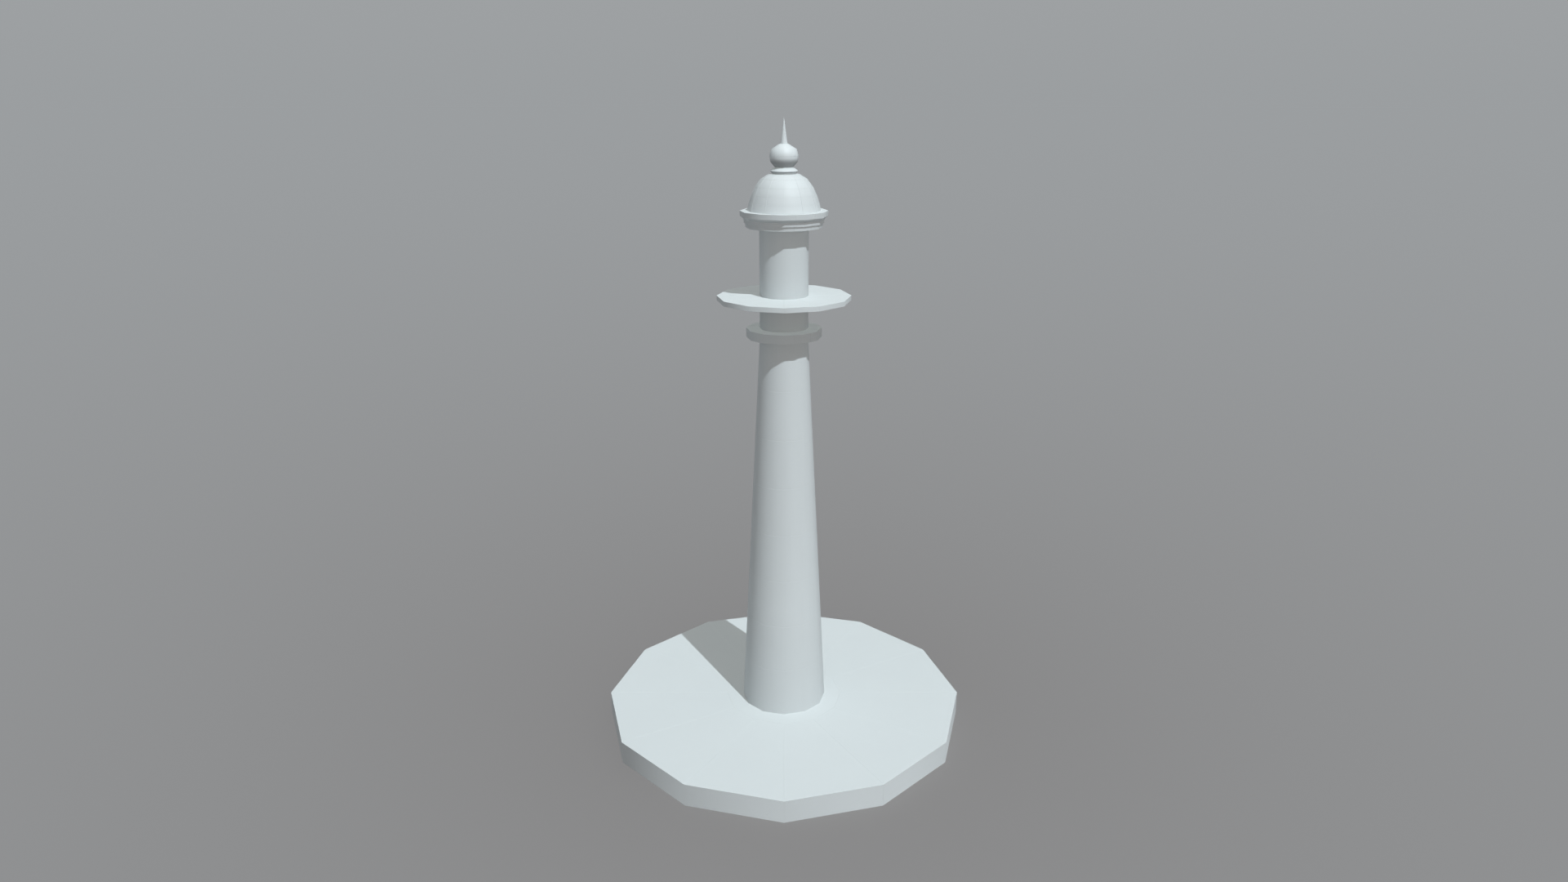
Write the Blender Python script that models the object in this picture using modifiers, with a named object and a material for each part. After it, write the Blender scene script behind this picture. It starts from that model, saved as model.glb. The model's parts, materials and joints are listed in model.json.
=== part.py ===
"""Lighthouse: a slim, hollow, twelve-sided tower on a broad twelve-sided platform.

Metres, +Z up. The origin is the centre of the platform's underside. Every plan is a regular
twelve-sided figure with an arris on each of the X and Y axes, and a radius is measured to an
arris. Heights above the platform are counted from its top.
"""

import math

import bpy

OBJECT_NAME = "lighthouse"
SIDES = 12
BAY_ANGLE = 2 * math.pi / SIDES
FIT = 0.0003  # the joint left between two pieces that touch
MERGE = 0.0001
ARRIS_SHARP = math.radians(40)  # flatter arrises than this are shaded as one surface

# Platform
PLATFORM_RADIUS = 8.00
PLATFORM_HEIGHT = 1.00
CORE_RADIUS = 2.60

# Shaft, tapering in a straight line outside and inside
SHAFT_HEIGHT = 16.77
SHAFT_FOOT_RADIUS = 1.86
SHAFT_HEAD_RADIUS = 1.00
WALL_AT_FOOT = 0.40
WALL_AT_HEAD = 0.20
SHAFT_LIFTS = 8
WELL_RADIUS = SHAFT_HEAD_RADIUS - WALL_AT_HEAD  # inside the wall above the shaft

# Belt course, neck and gallery
BELT_RADIUS = 1.56
BELT_DEPTH = 0.38
NECK_RADIUS = 1.00
NECK_HEIGHT = 1.135
GALLERY_RADIUS = 2.76
GALLERY_DEPTH = 0.205

# Lantern wall and cornice
LANTERN_RADIUS = 1.00
LANTERN_HEIGHT = 2.75
BED_FOOT_RADIUS = 1.545
BED_HEAD_RADIUS = 1.565
BED_DEPTH = 0.17
BAND_FOOT_RADIUS = 1.61
BAND_HEAD_RADIUS = 1.63
BAND_DEPTH = 0.17
LIP_FOOT_RADIUS = 1.766
LIP_HEAD_RADIUS = 1.776
LIP_COVE_DEPTH = 0.11
LIP_FACE_DEPTH = 0.21

# Dome: a shell whose outline follows (radius / DOME_RADIUS) ** ROUND + (height / RISE) ** STEEP = 1
DOME_RADIUS = 1.475
DOME_RISE = 1.48
DOME_ROUND = 3.4
DOME_STEEP = 1.2
DOME_COURSES = 4
DOME_COURSE_HEIGHT = 0.31
DOME_CROWN_HEIGHT = 0.18
DOME_WALL = 0.06
DOME_EYE_RADIUS = 0.30  # open at the top, under the finial's neck

# Finial
FINIAL_NECK_RADIUS = 0.47
FINIAL_NECK_HEIGHT = 0.05
COLLAR_FOOT_RADIUS = 0.50
COLLAR_FLARE_HEIGHT = 0.05
COLLAR_RADIUS = 0.55
COLLAR_RIM_DEPTH = 0.03
COLLAR_HEAD_RADIUS = 0.37
COLLAR_SLOPE_HEIGHT = 0.14
BALL_RADIUS = 0.58
BALL_HALF_HEIGHT = 0.50
BALL_SQUARENESS = 2.2  # 2 would be an ellipse
BALL_LATITUDES = (-53, -25, 3, 35, 76)  # of its rings, in degrees
BALL_WALL = 0.03
BALL_EYE_RADIUS = 0.20  # open at the bottom, over the collar
SPIRE_RADIUS = 0.14
SPIRE_HEIGHT = 0.985

# Finishes: base colour, roughness, metallic
FINISHES = {
    "platform_concrete": ((0.60, 0.63, 0.64), 0.85, 0.0),
    "wall_render": ((0.62, 0.65, 0.66), 0.80, 0.0),
    "gallery_stone": ((0.60, 0.63, 0.64), 0.80, 0.0),
    "cornice_stone": ((0.62, 0.65, 0.66), 0.80, 0.0),
    "dome_paint": ((0.62, 0.65, 0.66), 0.55, 0.0),
    "finial_paint": ((0.58, 0.61, 0.62), 0.50, 0.0),
}


def clear_scene():
    for piece in list(bpy.data.objects):
        bpy.data.objects.remove(piece, do_unlink=True)


def make_finish(name):
    """A Principled material with the finish's colour, roughness and metallic value."""
    colour, roughness, metallic = FINISHES[name]
    finish = bpy.data.materials.new(name)
    finish.use_nodes = True
    shader = finish.node_tree.nodes["Principled BSDF"]
    shader.inputs["Base Color"].default_value = (*colour, 1.0)
    shader.inputs["Roughness"].default_value = roughness
    shader.inputs["Metallic"].default_value = metallic
    return finish


def add_piece(name, data, collection, finish):
    """A new object for one sub-part, in the lighthouse's collection."""
    data.materials.append(finish)
    piece = bpy.data.objects.new(name, data)
    collection.objects.link(piece)
    return piece


def adopt_primitive(name, collection, finish):
    """Name the primitive just added and move it into the lighthouse's collection."""
    piece = bpy.context.active_object
    piece.name = name
    piece.data.name = name
    piece.data.materials.append(finish)
    for holder in list(piece.users_collection):
        holder.objects.unlink(piece)
    collection.objects.link(piece)
    return piece


def settle(piece):
    """Keep what the modifiers make as the piece's own mesh, with its soft arrises shaded smooth."""
    depsgraph = bpy.context.evaluated_depsgraph_get()
    mesh = bpy.data.meshes.new_from_object(piece.evaluated_get(depsgraph))
    mesh.name = piece.name
    piece.modifiers.clear()
    piece.data = mesh
    mesh.shade_smooth()
    mesh.set_sharp_from_angle(angle=ARRIS_SHARP)


def turned(name, outline, collection, finish, closed=True):
    """Turn an outline of (radius, height) points that runs down the outer side from the top.

    A closed outline makes a ring. An open one starts and ends on the axis and makes a solid.
    """
    points = [(radius, 0.0, height) for radius, height in outline]
    edges = [(index, index + 1) for index in range(len(points) - 1)]
    if closed:
        edges.append((len(points) - 1, 0))
    mesh = bpy.data.meshes.new(name)
    mesh.from_pydata(points, edges, [])
    piece = add_piece(name, mesh, collection, finish)
    screw = piece.modifiers.new("turn", "SCREW")
    screw.axis = "Z"
    screw.steps = SIDES
    screw.render_steps = SIDES
    screw.use_merge_vertices = True
    screw.merge_threshold = MERGE
    settle(piece)
    return piece


def wall_ring(name, outer, inner, low, high, collection, finish):
    """A ring of wall. outer and inner are (foot radius, head radius)."""
    outline = [
        (outer[1], high),
        (outer[0], low + FIT),
        (inner[0], low + FIT),
        (inner[1], high),
    ]
    return turned(name, outline, collection, finish)


def side_corners(radius, index):
    """The two ends of one side at a radius, each drawn back by half a joint from the arris."""
    inset = FIT / 2
    along = radius - inset * math.tan(BAY_ANGLE / 2)
    corners = []
    for arris, turn in ((index, 1), (index + 1, -1)):
        angle = arris * BAY_ANGLE
        x = along * math.cos(angle) - turn * inset * math.sin(angle)
        y = along * math.sin(angle) + turn * inset * math.cos(angle)
        corners.append((x, y))
    return corners


def bay(name, index, inner_radius, outer_radius, low, high, collection, finish):
    """A flat bay between two arrises, from the inner radius to the outer one."""
    start, end = side_corners(outer_radius, index)
    inner_start, inner_end = side_corners(inner_radius, index)
    curve = bpy.data.curves.new(name, "CURVE")
    curve.dimensions = "2D"
    curve.fill_mode = "BOTH"
    curve.extrude = (high - low) / 2
    spline = curve.splines.new("POLY")
    outline = [inner_start, start, end, inner_end]
    spline.points.add(len(outline) - 1)
    for point, (x, y) in zip(spline.points, outline):
        point.co = (x, y, 0.0, 1.0)
    spline.use_cyclic_u = True
    piece = add_piece(name, curve, collection, finish)
    piece.location.z = (low + high) / 2
    return piece


def make_platform(collection, finishes):
    """The core under the tower, and one bay to each side around it."""
    bpy.ops.mesh.primitive_cylinder_add(
        vertices=SIDES,
        radius=CORE_RADIUS,
        depth=PLATFORM_HEIGHT,
        location=(0, 0, PLATFORM_HEIGHT / 2),
    )
    concrete = finishes["platform_concrete"]
    adopt_primitive("platform_core", collection, concrete)
    bay_foot = CORE_RADIUS + FIT / math.cos(BAY_ANGLE / 2)
    for index in range(SIDES):
        name = f"platform_bay_{index + 1:02d}"
        bay(name, index, bay_foot, PLATFORM_RADIUS, 0.0, PLATFORM_HEIGHT, collection, concrete)


def make_shaft(collection, finishes):
    """The tapered wall in lifts of equal height. Returns the height of its head."""

    def radii_at(share):
        outer = SHAFT_FOOT_RADIUS + share * (SHAFT_HEAD_RADIUS - SHAFT_FOOT_RADIUS)
        wall = WALL_AT_FOOT + share * (WALL_AT_HEAD - WALL_AT_FOOT)
        return outer, outer - wall

    for lift in range(SHAFT_LIFTS):
        low = lift / SHAFT_LIFTS
        high = (lift + 1) / SHAFT_LIFTS
        outer_low, inner_low = radii_at(low)
        outer_high, inner_high = radii_at(high)
        wall_ring(
            f"shaft_lift_{lift + 1:02d}",
            (outer_low, outer_high),
            (inner_low, inner_high),
            PLATFORM_HEIGHT + low * SHAFT_HEIGHT,
            PLATFORM_HEIGHT + high * SHAFT_HEIGHT,
            collection,
            finishes["wall_render"],
        )
    return PLATFORM_HEIGHT + SHAFT_HEIGHT


def make_courses(foot, collection, finishes):
    """Belt, neck, gallery, lantern wall and cornice, one on another. Returns the cornice's top."""
    well = (WELL_RADIUS, WELL_RADIUS)
    stone = finishes["cornice_stone"]
    wall = finishes["wall_render"]

    height = foot
    belt = (BELT_RADIUS, BELT_RADIUS)
    wall_ring("belt_course", belt, well, height, height + BELT_DEPTH, collection, stone)
    height += BELT_DEPTH

    neck = (NECK_RADIUS, NECK_RADIUS)
    wall_ring("neck_wall", neck, well, height, height + NECK_HEIGHT, collection, wall)
    height += NECK_HEIGHT

    # Each landing runs through the wall, which holds it down at its root
    deck_top = height + GALLERY_DEPTH
    landing = finishes["gallery_stone"]
    for index in range(SIDES):
        name = f"gallery_bay_{index + 1:02d}"
        bay(name, index, WELL_RADIUS, GALLERY_RADIUS, height + FIT, deck_top, collection, landing)
    height = deck_top

    drum = (LANTERN_RADIUS, LANTERN_RADIUS)
    wall_ring("lantern_wall", drum, well, height, height + LANTERN_HEIGHT, collection, wall)
    height += LANTERN_HEIGHT

    bed = (BED_FOOT_RADIUS, BED_HEAD_RADIUS)
    wall_ring("cornice_bed", bed, well, height, height + BED_DEPTH, collection, stone)
    height += BED_DEPTH

    band = (BAND_FOOT_RADIUS, BAND_HEAD_RADIUS)
    wall_ring("cornice_band", band, well, height, height + BAND_DEPTH, collection, stone)
    height += BAND_DEPTH

    top = height + LIP_COVE_DEPTH + LIP_FACE_DEPTH
    outline = [
        (LIP_HEAD_RADIUS, top),
        (LIP_FOOT_RADIUS, height + LIP_COVE_DEPTH),
        (BAND_HEAD_RADIUS, height + FIT),
        (WELL_RADIUS, height + FIT),
        (WELL_RADIUS, top),
    ]
    turned("cornice_lip", outline, collection, stone)
    return top


def dome_radius(height):
    """The dome's outer radius at a height above its base."""
    return DOME_RADIUS * (1 - (height / DOME_RISE) ** DOME_STEEP) ** (1 / DOME_ROUND)


def make_dome(base, collection, finishes):
    """A shell of straight courses under a flat crown with an eye. Returns the crown's height."""
    levels = [course * DOME_COURSE_HEIGHT for course in range(DOME_COURSES + 1)]
    levels.append(levels[-1] + DOME_CROWN_HEIGHT)
    outer = [(dome_radius(level), base + level) for level in reversed(levels)]
    outer[-1] = (outer[-1][0], base + FIT)
    inner = [(dome_radius(level) - DOME_WALL, base + level) for level in levels[:-1]]
    inner[0] = (inner[0][0], base + FIT)
    crown = outer[0][1]
    inner += [(DOME_EYE_RADIUS, crown - DOME_WALL), (DOME_EYE_RADIUS, crown)]
    turned("dome", outer + inner, collection, finishes["dome_paint"])
    return crown


def ball_radius(height):
    """The ball's outer radius at a height above its middle."""
    share = abs(height) / BALL_HALF_HEIGHT
    return BALL_RADIUS * (1 - share**BALL_SQUARENESS) ** (1 / BALL_SQUARENESS)


def make_finial(crown, collection, finishes):
    """Neck, collar, ball and spire."""
    paint = finishes["finial_paint"]
    eye = (DOME_EYE_RADIUS, DOME_EYE_RADIUS)
    neck = (FINIAL_NECK_RADIUS, FINIAL_NECK_RADIUS)
    rim = crown + FINIAL_NECK_HEIGHT
    wall_ring("dome_neck", neck, eye, crown, rim, collection, paint)

    rim_foot = rim + COLLAR_FLARE_HEIGHT
    rim_top = rim_foot + COLLAR_RIM_DEPTH
    head = rim_top + COLLAR_SLOPE_HEIGHT
    outline = [
        (0.0, head),
        (COLLAR_HEAD_RADIUS, head),
        (COLLAR_RADIUS, rim_top),
        (COLLAR_RADIUS, rim_foot),
        (COLLAR_FOOT_RADIUS, rim + FIT),
        (0.0, rim + FIT),
    ]
    turned("collar", outline, collection, paint, closed=False)

    levels = [BALL_HALF_HEIGHT * math.sin(math.radians(latitude)) for latitude in BALL_LATITUDES]
    middle = head - levels[0]
    outer = [(ball_radius(level), middle + level) for level in reversed(levels)]
    outer[-1] = (outer[-1][0], head + FIT)
    inner = [(ball_radius(level) - BALL_WALL, middle + level) for level in levels[1:-1]]
    top = outer[0][1]
    floor = head + FIT + BALL_WALL
    outline = [(0.0, top)] + outer + [(BALL_EYE_RADIUS, head + FIT), (BALL_EYE_RADIUS, floor)]
    outline += inner + [(0.0, top - BALL_WALL)]
    turned("ball", outline, collection, paint, closed=False)

    height = SPIRE_HEIGHT - FIT
    bpy.ops.mesh.primitive_cone_add(
        vertices=SIDES,
        radius1=SPIRE_RADIUS,
        radius2=0.0,
        depth=height,
        location=(0, 0, top + FIT + height / 2),
    )
    settle(adopt_primitive("spire", collection, paint))


def main():
    clear_scene()
    collection = bpy.data.collections.new(OBJECT_NAME)
    bpy.context.scene.collection.children.link(collection)
    finishes = {name: make_finish(name) for name in FINISHES}
    make_platform(collection, finishes)
    shaft_head = make_shaft(collection, finishes)
    cornice_top = make_courses(shaft_head, collection, finishes)
    crown = make_dome(cornice_top, collection, finishes)
    make_finial(crown, collection, finishes)


main()
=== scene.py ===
"""Looks of a slim twelve-sided lighthouse on a broad twelve-sided platform.

Metres, +Z up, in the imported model's frame. Every plan has an arris on each of the X and Y axes, and
a radius is measured to an arris. An outline is a list of (radius, height) points on the +X arris.
"""

import json
import logging
import math
from contextlib import contextmanager
from dataclasses import dataclass, field
from enum import Enum
from functools import cache
from typing import Callable, Iterator, Mapping, Sequence, Union

import bmesh
import bpy
import numpy as np
from mathutils import Matrix, Vector


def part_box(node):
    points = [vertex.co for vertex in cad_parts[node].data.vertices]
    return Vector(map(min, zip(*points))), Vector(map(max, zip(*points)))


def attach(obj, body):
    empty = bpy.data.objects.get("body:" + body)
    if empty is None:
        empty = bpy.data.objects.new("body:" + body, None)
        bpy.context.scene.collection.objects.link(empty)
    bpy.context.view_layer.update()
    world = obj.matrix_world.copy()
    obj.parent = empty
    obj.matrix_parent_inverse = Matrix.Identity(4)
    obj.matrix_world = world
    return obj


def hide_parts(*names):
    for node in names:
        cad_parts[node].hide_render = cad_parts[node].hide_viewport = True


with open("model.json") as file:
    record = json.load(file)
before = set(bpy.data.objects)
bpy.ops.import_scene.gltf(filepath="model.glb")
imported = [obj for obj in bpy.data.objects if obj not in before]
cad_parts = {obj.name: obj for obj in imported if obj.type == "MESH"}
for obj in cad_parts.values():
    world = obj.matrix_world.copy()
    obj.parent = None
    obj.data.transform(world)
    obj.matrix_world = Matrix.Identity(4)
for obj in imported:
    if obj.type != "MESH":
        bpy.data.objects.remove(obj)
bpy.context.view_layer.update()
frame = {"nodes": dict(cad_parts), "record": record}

LOG = logging.getLogger("lighthouse")

BODY = "root"
SIDES = 12
BAY = 2 * math.pi / SIDES
HALF_BAY = BAY / 2
MERGE = 0.0001
ARRIS_SHARP = math.radians(40)  # flatter arrises than this are shaded as one surface
ARRIS_SOFT = math.radians(50)  # faces that lean more than this from each other share no shading
OUTER_SIDE = HALF_BAY * 1.2  # a corner of an outer side faces this near to straight outwards
LEAST_LEVEL = 0.05  # a normal with a smaller level part belongs to a top or an underside
HAIR = 0.001  # places and levels that are this near each other count as one

Point = tuple[float, float]
Place = tuple[float, float, float]
Colour = tuple[float, float, float]
Number = Union[float, "Value"]


class Slot(Enum):
    """The record's material slots."""

    PLATFORM = "platform_concrete"
    WALL = "wall_render"
    GALLERY = "gallery_stone"
    CORNICE = "cornice_stone"
    DOME = "dome_paint"
    FINIAL = "finial_paint"


class Joints(Enum):
    """Where the upright joints of a course stand, as a share of a side past an arris."""

    AT_ARRIS = 0.0
    MID_SIDE = 0.5


class Head(Enum):
    """The shape of a fastener's head."""

    DOMED = "domed"
    HEXAGON = "hexagon"


class Shading(Enum):
    """How the arrises of a piece are shaded."""

    AS_TURNED = "as_turned"  # as part of the tower's own round surface
    AS_MADE = "as_made"  # by the piece's own edges


def math_node(operation: str, swapped: bool = False) -> Callable[["Value", Number], "Value"]:
    """A method of Value that adds one Math node.

    Args:
        operation: The node's operation.
        swapped: Whether the method's own value comes second, as in 1 - value.

    Returns:
        The method.
    """

    def method(self: "Value", other: Number) -> "Value":
        """The node's result."""
        operands = (other, self) if swapped else (self, other)
        return self.graph.math(operation, *operands)

    return method


class Value:
    """A socket of a node tree, whose arithmetic adds Math nodes to the tree."""

    def __init__(self, graph: "Graph", socket: bpy.types.NodeSocket) -> None:
        """Wrap one output socket of a graph's tree."""
        self.graph = graph
        self.socket = socket

    def also(self, output: str) -> "Value":
        """Another output of the same node."""
        return Value(self.graph, self.socket.node.outputs[output])

    __add__ = math_node("ADD")
    __radd__ = math_node("ADD", swapped=True)
    __sub__ = math_node("SUBTRACT")
    __rsub__ = math_node("SUBTRACT", swapped=True)
    __mul__ = math_node("MULTIPLY")
    __rmul__ = math_node("MULTIPLY", swapped=True)
    __truediv__ = math_node("DIVIDE")
    __rtruediv__ = math_node("DIVIDE", swapped=True)
    __mod__ = math_node("FLOORED_MODULO")  # never negative
    __pow__ = math_node("POWER")
    __lt__ = math_node("LESS_THAN")


class Graph:
    """A node tree that is being written."""

    def __init__(self, tree: bpy.types.NodeTree) -> None:
        """Write into a tree."""
        self.tree = tree

    def add(
        self,
        kind: str,
        settings: Mapping[str, object] | None = None,
        sockets: Mapping[int | str, object] | None = None,
        output: int | str = 0,
    ) -> Value:
        """Add one node.

        Args:
            kind: The node's type.
            settings: Its own properties, and the stops of a ramp, which are set first.
            sockets: The value or the link of each input, by its name or its place.
            output: The output that is wanted.

        Returns:
            That output.
        """
        node = self.tree.nodes.new(kind)
        for name, setting in (settings or {}).items():
            if name == "stops":
                self.set_stops(node.color_ramp, setting)
            else:
                setattr(node, name, setting)
        for key, given in (sockets or {}).items():
            self.feed(node.inputs[key], given)
        return Value(self, node.outputs[output])

    def feed(self, socket: bpy.types.NodeSocket, given: object) -> None:
        """Set what a socket takes.

        Args:
            socket: The socket.
            given: A value to link to it, a list of them, or a constant.
        """
        for value in given if isinstance(given, list) else [given]:
            if isinstance(value, Value):
                self.tree.links.new(value.socket, socket)
            else:
                socket.default_value = value

    def set_stops(self, ramp: bpy.types.ColorRamp, stops: Sequence[tuple[float, Colour]]) -> None:
        """Give a ramp its stops.

        Args:
            ramp: The ramp.
            stops: The place and the colour of each stop, in order.
        """
        while len(ramp.elements) < len(stops):
            ramp.elements.new(0.5)
        for element, (place, colour) in zip(ramp.elements, stops):
            element.position = place
            element.color = (*colour, 1.0)

    def math(self, operation: str, *operands: Number) -> Value:
        """One Math node on its operands."""
        return self.add("ShaderNodeMath", {"operation": operation}, dict(enumerate(operands)))

    def clamp(self, value: Number) -> Value:
        """A value held between 0 and 1."""
        return self.math("MINIMUM", self.math("MAXIMUM", value, 0.0), 1.0)

    def ramp(self, value: Value, start: float, run: float) -> Value:
        """0 up to a start, and then up to 1 over a run."""
        return self.clamp((value - start) / run)

    def vector(self, x: Number, y: Number, z: Number) -> Value:
        """A vector from its three parts."""
        return self.add("ShaderNodeCombineXYZ", {}, {"X": x, "Y": y, "Z": z})

    def polar(self, radius: Number, turn: Number, height: Number) -> Value:
        """A vector from its reach, its turn round the tower's axis and its height."""
        cosine = self.math("COSINE", turn)
        return self.vector(radius * cosine, radius * self.math("SINE", turn), height)

    def parts(self, vector: Value) -> tuple[Value, Value, Value]:
        """The three parts of a vector."""
        x = self.add("ShaderNodeSeparateXYZ", {}, {"Vector": vector}, "X")
        return x, x.also("Y"), x.also("Z")

    def height(self, vector: Value) -> Value:
        """A place's height, or the part of a direction that points up."""
        return self.parts(vector)[2]

    def reach(self, place: Value) -> Value:
        """A place's distance from the tower's axis."""
        x, y, _ = self.parts(place)
        return self.math("SQRT", x * x + y * y)

    def turn(self, place: Value) -> Value:
        """A place's turn round the tower's axis."""
        x, y, _ = self.parts(place)
        return self.math("ARCTAN2", y, x)

    def stretched(self, vector: Value, factors: Colour) -> Value:
        """A vector with each part multiplied by its own factor."""
        return self.add("ShaderNodeVectorMath", {"operation": "MULTIPLY"}, {0: vector, 1: factors})

    def scaled(self, vector: Value, factor: Number) -> Value:
        """A vector or a colour multiplied by a number."""
        return self.add("ShaderNodeVectorMath", {"operation": "SCALE"}, {0: vector, "Scale": factor})

    def mix(self, share: Number, first: Colour, second: Colour) -> Value:
        """A colour that goes from the first to the second as share goes from 0 to 1."""
        sockets = {0: share, 6: (*first, 1.0), 7: (*second, 1.0)}
        return self.add("ShaderNodeMix", {"data_type": "RGBA"}, sockets, 2)

    def noise(self, place: Value, patch: float, detail: float = 2.0) -> Value:
        """Soft random values around 0, from about -1 to 1, in patches of a size in metres."""
        sockets = {"Vector": place, "Scale": 1 / patch, "Detail": detail}
        return (self.add("ShaderNodeTexNoise", {}, sockets) - 0.5) * 2


class GeometryGraph(Graph):
    """A geometry tree that is being written, with a base geometry and named inputs."""

    SOCKETS = {
        float: "NodeSocketFloat",
        int: "NodeSocketInt",
        bpy.types.Material: "NodeSocketMaterial",
    }

    def __init__(self, name: str, **inputs: type) -> None:
        """Start a tree.

        Args:
            name: The tree's name.
            inputs: The type of each input, by its name. A finish is always one more.
        """
        super().__init__(bpy.data.node_groups.new(name, "GeometryNodeTree"))
        interface = self.tree.interface
        interface.new_socket("geometry", in_out="INPUT", socket_type="NodeSocketGeometry")
        interface.new_socket("geometry", in_out="OUTPUT", socket_type="NodeSocketGeometry")
        for label, kind in {**inputs, "finish": bpy.types.Material}.items():
            interface.new_socket(label, in_out="INPUT", socket_type=self.SOCKETS[kind])
        self.entry = self.tree.nodes.new("NodeGroupInput")

    def given(self, name: str) -> Value:
        """The input of that name."""
        return Value(self, self.entry.outputs[name])

    def repeat(self, geometry: Value, count: Number, first: Number = 0.0) -> Value:
        """Repeat a geometry round the tower's axis, a side apart.

        Args:
            geometry: The geometry, in its place on side 0.
            count: How many copies there are.
            first: The side that the first of them stands on.

        Returns:
            The copies, as instances.
        """
        turn = (self.add("GeometryNodeInputIndex") + first) * BAY
        points = self.add("GeometryNodePoints", {}, {"Count": count})
        sockets = {"Points": points, "Instance": geometry, "Rotation": self.vector(0.0, 0.0, turn)}
        return self.add("GeometryNodeInstanceOnPoints", {}, sockets)

    def deliver(self, geometry: Value) -> bpy.types.NodeTree:
        """End the tree with real meshes in the finish that it was given.

        Args:
            geometry: What the tree has made.

        Returns:
            The tree.
        """
        real = self.add("GeometryNodeRealizeInstances", {}, {"Geometry": geometry})
        sockets = {"Geometry": real, "Material": self.given("finish")}
        finished = self.add("GeometryNodeSetMaterial", {}, sockets)
        exit_node = self.tree.nodes.new("NodeGroupOutput")
        self.feed(exit_node.inputs["geometry"], finished)
        return self.tree


@dataclass(frozen=True)
class Finish:
    """A matt procedural finish, whose tone and relief change over the surface.

    tint is its colour as a share of the colour that the record gives the slot. mottle is the share
    by which patches are lighter or darker, and each relief is a height in metres.
    """

    name: str
    slot: Slot
    roughness: float
    tint: float = 1.0
    mottle: float = 0.02
    patch: float = 1.6
    fine_patch: float = 1 / 7  # the size of the fine patches, as a share of the broad ones'
    fine_share: float = 0.3  # their share of the tone
    grain: float = 0.0006
    grain_size: float = 0.012

    def colour(self, share: float) -> Colour:
        """The middle tone, times a share."""
        materials = {row["slot"]: row["base_color"] for row in frame["record"]["materials"]}
        return tuple(channel * self.tint * share for channel in materials[self.slot.value])

    def tone(self, graph: Graph, place: Value) -> Value:
        """How far each point is from the middle tone, from about -1 to 1."""
        fine = graph.noise(place, self.patch * self.fine_patch) * self.fine_share
        return graph.noise(place, self.patch) * (1 - self.fine_share) + fine

    def weather(self, graph: Graph, place: Value) -> Number:
        """The share of its tone that each point keeps under wear and painted shade."""
        return 1.0

    def relief(self, graph: Graph, place: Value) -> Value:
        """The height of each point above the surface, in metres."""
        return graph.noise(place, self.grain_size, 1.0) * (self.grain / 2)

    @cache
    def material(self) -> bpy.types.Material:
        """Write the finish as a material.

        Returns:
            The material, which is made only once.
        """
        material = bpy.data.materials.new(self.name)
        material.use_nodes = True
        graph = Graph(material.node_tree)
        place = graph.add("ShaderNodeTexCoord", {}, {}, "Object")
        tone = self.tone(graph, place)
        dark = self.colour(1 - self.mottle)
        light = self.colour(1 + self.mottle)
        height = {"Height": self.relief(graph, place), "Distance": 1.0, "Strength": 1.0}
        colour = graph.mix(graph.clamp(tone / 2 + 0.5), dark, light)
        shader = material.node_tree.nodes["Principled BSDF"]
        graph.feed(shader.inputs["Base Color"], graph.scaled(colour, self.weather(graph, place)))
        graph.feed(shader.inputs["Roughness"], graph.clamp(self.roughness - tone * self.mottle))
        graph.feed(shader.inputs["Normal"], graph.add("ShaderNodeBump", {}, height))
        return material


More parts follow.
